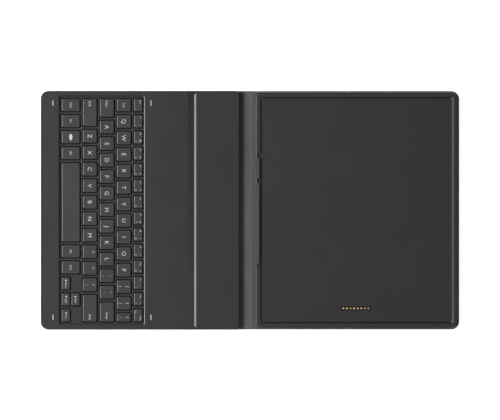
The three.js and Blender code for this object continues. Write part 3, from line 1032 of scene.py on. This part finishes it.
def key_hole(x, y):
    """A hole in the web round one cap, with a slightly rounded upper edge."""
    lip = [(0.12, WEB_TOP - 1.4), (0.12, WEB_TOP - 0.25), (0.05, WEB_TOP - 0.08), (-0.12, WEB_TOP + 0.02)]
    return inset_loft(grown(x, RING_GAP), grown(y, RING_GAP), CAP_CORNER + 0.5, lip, steps=4)


def make_deck_shell(key_outlines):
    low, high = node_box("deck_top_shell")
    seats = [bumper_seat(side) for side in BUMPER_SIDES]
    above = together(well_cutter(high.z), groove_cutter(high.z), *seats)
    holes = [key_hole(x, y) for x, y in key_outlines]
    # The holes of the up and down keys meet, so neighbours are cut in turn.
    rows = together(*holes[::2]), together(*holes[1::2])
    bottom, behind = low.z - 0.6, high.y + 1.0
    liner_slot = block(both(LINER_SLOT_X), (LINER_Y[0] - 0.2, behind), (bottom, LINER_SPINE[1] + 0.05))
    ribbon_slot = block(RIBBON_SLOT_X, (RIBBON_SLOT_START[0], behind), (bottom, RIBBON_SLOT_START[1]))
    body = deck_body(low, high)
    shell = cut(body, cavity_cutter(low.z - 0.5), above, web_gap_cutter(), *rows, liner_slot, ribbon_slot)
    finishes, nodes = [DECK_PLASTIC, GROOVE_GLOSS_AND_LIGHT], ["deck_top_shell"]
    deck = piece("deck_shell", shell, finishes, body="keyboard_deck", stands_for=nodes)
    # The ramp's faces get the glossier finish, whose lighter colour is painted light
    for face in deck.data.polygons:
        in_groove = GROOVE_FRONT - 0.2 < face.center.y / MM < GROOVE_BOTTOM[0]
        if in_groove and 0.1 < face.normal.y < 0.5:
            face.material_index = 1


def make_bumpers():
    for side in BUMPER_SIDES:
        node = "bumper_" + side
        low, high = node_box(node)
        radius = (high.y - low.y) / 2 - 0.01
        profile = [(0.0, low.z)] + quarter_round(BUMPER_ROUND, high.z, 4)
        shape = inset_loft(*plan(node), radius, profile)
        piece("pad_" + side, shape, BUMPER_RUBBER, body="keyboard_deck", stands_for=[node])


def make_groove_strip():
    low, high = node_box("groove_strip")
    y, z = GROOVE_BOTTOM
    rear = GROOVE_REAR + STRIP_THICKNESS
    section = [
        (y + 0.15, z - 0.02),
        (y + STRIP_THICKNESS, z - 0.2),
        (rear - 0.1, high.z - 0.3),
        (rear - 0.12, high.z - 0.08),
        (GROOVE_REAR + 0.18, high.z - 0.01),
        (GROOVE_REAR - 0.08, high.z - 0.08),
        (y + 0.06, z + 0.07),
    ]
    shape = bar((low.x, high.x), section)
    piece("rest_strip", shape, STRIP_METAL, body="keyboard_deck", stands_for=["groove_strip"])


# ---- Skin and liner ----


def ramp(value, start, end):
    """0 before start and 1 after end, easing between them."""
    t = min(1.0, max(0.0, (value - start) / (end - start)))
    return t * t * (3 - 2 * t)


def slice_lines(creases, ends):
    """Y values where a sheet is divided: close together round each crease, and a few between."""
    lines = []
    for crease in creases:
        lines += [crease + FINE_REACH * (i / 8 - 1) for i in range(17)]
    lines += [ends[0] + (ends[1] - ends[0]) * i / 24 for i in range(1, 24)]
    return sorted(lines)


def stretch_of(shape, start, end):
    """The part of a closed sheet between two Y values, closed at both ends."""
    made = bmesh_of(*shape)
    for line, side in ((start, -1), (end, 1)):
        if line is None:
            continue
        everything = made.verts[:] + made.edges[:] + made.faces[:]
        bmesh.ops.bisect_plane(
            made, geom=everything, dist=1e-5, plane_co=(0, line, 0), plane_no=(0, side, 0), clear_outer=True
        )
        rim = [e for e in made.edges if e.is_boundary]
        bmesh.ops.triangle_fill(made, edges=rim, use_beauty=True)
    bmesh.ops.recalc_face_normals(made, faces=made.faces)
    return taken_apart(made)


def divided(shape, lines):
    made = bmesh_of(*shape)
    for line in lines:
        everything = made.verts[:] + made.edges[:] + made.faces[:]
        bmesh.ops.bisect_plane(made, geom=everything, dist=1e-4, plane_co=(0, line, 0), plane_no=(0, 1, 0))
    return taken_apart(made)


def skin_shape():
    """The whole outer skin lying flat: a sheet with a hem turned up all round."""
    low, high = node_box("upper_back_skin")
    front = node_box("deck_skin")[0].y
    rim = SKIN_EDGE_ROUND
    profile = [(6.0, 0.0), (rim, 0.0)]
    profile += [(rim - rim * math.sin(t), rim - rim * math.cos(t)) for t in (0.4, 0.8, 1.2, math.pi / 2)]
    profile += [(rim - rim * math.cos(t), HEM_TOP - rim + rim * math.sin(t)) for t in (0.0, 0.4, 0.8, 1.2)]
    profile += [(rim, HEM_TOP), (HEM_WIDTH - 0.35, HEM_TOP), (HEM_WIDTH - 0.1, HEM_TOP - 0.1)]
    profile += [(HEM_WIDTH, HEM_TOP - 0.35), (HEM_WIDTH, SKIN_TOP)]
    shape = inset_loft((low.x, high.x), (front, high.y), DECK_CORNER, profile, steps=10)
    creases = (SPINE_CREASE, BAND_CREASE, COVER_CREASE, STAND_CREASE)
    verts, faces = divided(shape, slice_lines(creases, (front, high.y)))

    def settled(x, y, z):
        rise = HEM_PRESSED + HEM_SPINE_RISE * ramp(y, *HEM_SPINE_Y) + HEM_COVER_RISE * ramp(y, *HEM_COVER_Y)
        if z > SKIN_TOP:
            z = SKIN_TOP + (z - SKIN_TOP) * rise
        for crease in creases:
            if z < SKIN_TOP / 2:
                z += CREASE_DEPTH * math.exp(-(((y - crease) / CREASE_WIDTH) ** 2))
        return x, y, z

    return [settled(*v) for v in verts], faces


# The stretches of a sheet from the typist's side on: the bodies that each bends between, its crease, and the
# seam at its far end
STRETCHES = [
    ("deck_to_spine", ("keyboard_deck", "spine"), SPINE_CREASE, SPINE_SEAM),
    ("spine_to_band", ("spine", "cover_band"), BAND_CREASE, BAND_SEAM),
    ("band_to_cover", ("cover_band", "lower_back"), COVER_CREASE, LOWER_SEAM),
    ("cover_to_tray", ("lower_back", "tray_back"), STAND_CREASE, None),
]


def lay_sheet(sheet, shape, finishes, stands_for):
    """Makes one stretch of a sheet for each list in stands_for.

    The last one runs to the end of the sheet.
    """
    pieces, start = [], None
    for (name, bodies, crease, seam), nodes in zip(STRETCHES, stands_for):
        end = None if len(pieces) == len(stands_for) - 1 else seam
        obj = piece(f"{sheet}_{name}", stretch_of(shape, start, end), finishes, stands_for=nodes)
        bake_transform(obj)
        pieces.append(obj)
        start = end
    return pieces


def make_skin():
    finishes = [OUTER_SKIN, SKIN_GAP_SHADE]
    nodes = [["deck_skin"], ["spine_skin"], ["hinge_band"], ["lower_back_skin", "upper_back_skin"]]
    for obj in lay_sheet("skin", skin_shape(), finishes, nodes):
        # The skin's inner floor gets the dark finish as painted shade in the gap round the tray
        for face in obj.data.polygons:
            if face.normal.z > 0.9 and face.center.z < (SKIN_TOP + 0.05) * MM:
                face.material_index = 1


def liner_shape():
    """The whole liner, made one high with its thickness as a share, and then let down to its place."""
    low, high = node_box("spine_liner")
    profile = [(0.15, 0.0), (0.0, 0.3), (0.0, 0.7), (0.15, 1.0)]
    shape = inset_loft((low.x, high.x), LINER_Y, 0.4, profile, steps=2)
    verts, faces = divided(shape, slice_lines((SPINE_CREASE, BAND_CREASE, COVER_CREASE), LINER_Y))

    def settled(x, y, z):
        share = ramp(y, *LINER_DIP_Y)
        bottom, top = (spine + (cover - spine) * share for spine, cover in zip(LINER_SPINE, LINER_COVER))
        pull = 1.0 - ramp(y, *LINER_NARROWING_Y) * (1.0 - LINER_COVER_X / high.x)
        return x * pull, y, bottom + (top - bottom) * z

    return [settled(*v) for v in verts], faces


def make_liner():
    """The woven face of the spine, which dips under the tray and lines the lower part of the cover."""
    nodes = [["spine_liner"], [], []]
    lay_sheet("liner", liner_shape(), LINER_CLOTH, nodes)


# ---- Tray and contacts ----


def seat_cutter(floor, top):
    """The seat that the tablet lies in, with a rounded foot, and walls that lean out to its mouth."""
    seat = (both(SEAT_X), SEAT_Y)
    mouth = (both(MOUTH_X), MOUTH_Y)
    levels = [
        (seat, -0.25, floor),
        (seat, -0.05, floor + 0.06),
        (seat, 0.1, floor + 0.2),
        (mouth, -0.1, top - 0.14),
        (mouth, 0.02, top - 0.04),
        (mouth, 0.2, top + 0.01),
        (mouth, 0.2, top + 1.0),
    ]
    outlines = []
    for (x, y), grow, z in levels:
        outlines.append((z, rounded(grown(x, grow), grown(y, grow), SEAT_CORNER + grow, steps=8)))
    return loft(outlines)


def gutter_cutter(side, floor):
    """The gutter along one short wall of the seat. side is -1 on the typist's left and 1 on the right."""
    x = sorted((side * (SEAT_X - GUTTER_WIDTH), side * (SEAT_X + 0.03)))
    return block(x, grown(SEAT_Y, -SEAT_CORNER), (floor - GUTTER_DEPTH, floor + 0.25))


def lip_section(front, above):
    """Section of what is cut away over a lip: a slightly bulging slope down from its crest to its foot."""
    crest_y, crest_z = LIP_CREST
    rear_y, rear_z = LIP_REAR
    section = [(rear_y + 1.0, rear_z), (rear_y, rear_z), ((crest_y + rear_y) / 2, crest_z - 0.15)]
    for i in range(LIP_STEPS + 1):
        rise = 1.0 - i / LIP_STEPS
        bulge = LIP_BULGE * math.sin(math.pi * rise)
        section.append((front + (crest_y - front) * rise, LIP_FOOT + (crest_z - LIP_FOOT) * rise + bulge))
    return section + [(front - 1.0, LIP_FOOT - 0.2), (front - 1.0, above), (rear_y + 1.0, above)]


def relief_cutter(x, above):
    return turned(x, RELIEF_Y, [(RELIEF_RADIUS, RELIEF_FLOOR), (RELIEF_RADIUS, above)], 24)


def magnet_bay(bottom):
    """The bay for the edge magnet, open below."""
    x, y = (grown(span, 0.2) for span in plan("tray_magnet"))
    return block(x, y, (bottom, node_box("tray_magnet")[1].z + 0.1))


def contact_opening(z):
    """The opening that the contact housing fills, a little larger all round."""
    x, y = (grown(span, 0.12) for span in plan("contact_housing"))
    return inset_loft(x, y, (x[1] - x[0]) / 2 - 0.01, [(0.0, z[0]), (0.0, z[1])], steps=8)


def paint_recess_shade(tray, low, high, floor):
    """Painted shade in the relief holes and gutters: their faces get the dark contact plastic."""
    for face in tray.data.polygons:
        at = face.center / MM
        beside_bore = min((at.xy - Vector((x, RELIEF_Y))).length for x in RELIEF_HOLES)
        in_bore = beside_bore < RELIEF_RADIUS + 0.05 and at.z < high.z - 0.15
        in_gutter = abs(abs(at.x) - SEAT_X + GUTTER_WIDTH / 2) < GUTTER_WIDTH / 2 + 0.05
        if in_bore or (in_gutter and low.z + 0.1 < at.z < floor - 0.05):
            face.material_index = 1


def make_tray():
    low, high = node_box("tray_shell")
    floor = node_box("contact_housing")[1].z + 0.05
    above, below = high.z + 1.0, low.z - 1.0
    profile = [(0.2, low.z), (0.0, low.z + 0.2)] + quarter_round(TRAY_ROUND, high.z)
    body = inset_loft(*plan("tray_shell"), TRAY_CORNER, profile, steps=10)
    gutters = [gutter_cutter(side, floor) for side in (-1, 1)]
    lips = [bar(x, lip_section(low.y, above)) for x in LIP_SECTIONS]
    slots = [block(x, (LIP_REAR[0], SLOT_Y), (SLOT_FLOOR, above)) for x in LIP_SECTIONS]
    notch = block(END_NOTCH, (NOTCH_FRONT, SLOT_Y), (NOTCH_FLOOR, above))
    reliefs = [relief_cutter(x, above) for x in RELIEF_HOLES]
    shape = cut(
        body,
        seat_cutter(floor, high.z),
        together(*gutters),
        together(*lips),
        together(*slots),
        together(notch, *reliefs),
        magnet_bay(below),
        contact_opening((below, floor + 1.0)),
    )
    # The second finish is the dark contact plastic, used here as painted shade in the holes and gutters
    finishes, nodes = [TRAY_PLASTIC, CONTACT_PLASTIC_AND_SHADE], ["tray_shell"]
    tray = piece("tray_frame", shape, finishes, body="tray_back", stands_for=nodes)
    paint_recess_shade(tray, low, high, floor)


def pin_places():
    """The middle of the contacts in X, and each pin's place in Y."""
    x, y = (middle(span) for span in plan("contact_housing"))
    return x, [y + (i - (PIN_COUNT - 1) / 2) * PIN_PITCH for i in range(PIN_COUNT)]


def make_contact_block():
    low, high = node_box("contact_housing")
    x, places = pin_places()
    hole = [
        (PIN_HOLE_RADIUS, low.z - 1.0),
        (PIN_HOLE_RADIUS, high.z - 0.15),
        (PIN_HOLE_MOUTH, high.z + 0.05),
        (PIN_HOLE_MOUTH, high.z + 1.0),
    ]
    holes = [turned(x, y, hole, 24) for y in places]
    profile = [(0.0, low.z), (0.0, high.z - 0.2), (0.06, high.z - 0.06), (0.2, high.z)]
    radius = (high.x - low.x) / 2 - 0.01
    housing = inset_loft(*plan("contact_housing"), radius, profile, steps=10)
    room = [grown((at, at), half) for at, half in zip(map(middle, plan("contact_housing")), CARRIER_ROOM)]
    housing = cut(housing, block(*room, (low.z - 1.0, high.z - 0.5)), together(*holes))
    nodes = ["contact_housing"]
    piece("contact_block", housing, CONTACT_PLASTIC_AND_SHADE, body="tray_back", stands_for=nodes)


def make_pins():
    low, high = node_box("contact_pins")
    x, places = pin_places()
    carrier_top = low.z + CARRIER_THICKNESS
    carrier = block(*plan("contact_pins"), (low.z, carrier_top))
    profile = [
        (PIN_RADIUS, carrier_top - 0.05),
        (PIN_RADIUS, high.z - 0.4),
        (PIN_RADIUS * 0.93, high.z - 0.22),
        (PIN_RADIUS * 0.72, high.z - 0.08),
        (PIN_RADIUS * 0.4, high.z),
    ]
    shape = together(carrier, *(turned(x, y, profile, 24) for y in places))
    piece("gold_contacts", shape, GOLD, body="contact_pins", stands_for=["contact_pins"])


# ---- Inner parts, which keep their CAD shapes ----

INNER_PARTS = [
    (BOARD, ["deck_base_plate", "spine_stiffener", "lower_back_board", "upper_back_board"]),
    (PLATE_METAL, ["key_support_plate"]),
    (CIRCUIT, ["controller_board"]),
    (RIBBON, ["deck_ribbon", "spine_ribbon", "lower_back_ribbon", "upper_back_ribbon"]),
    (MAGNET_METAL, ["groove_magnet", "closing_magnet", "tray_magnet"]),
]


def finish_inner_parts():
    for material, nodes in INNER_PARTS:
        for material_slot in [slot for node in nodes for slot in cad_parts[node].material_slots]:
            material_slot.link = "OBJECT"
            material_slot.material = material


make_camera()
make_stage()
make_deck_shell(make_keys())
make_dome_sheet()
make_bumpers()
make_groove_strip()
make_skin()
make_liner()
make_tray()
make_contact_block()
make_pins()
finish_inner_parts()
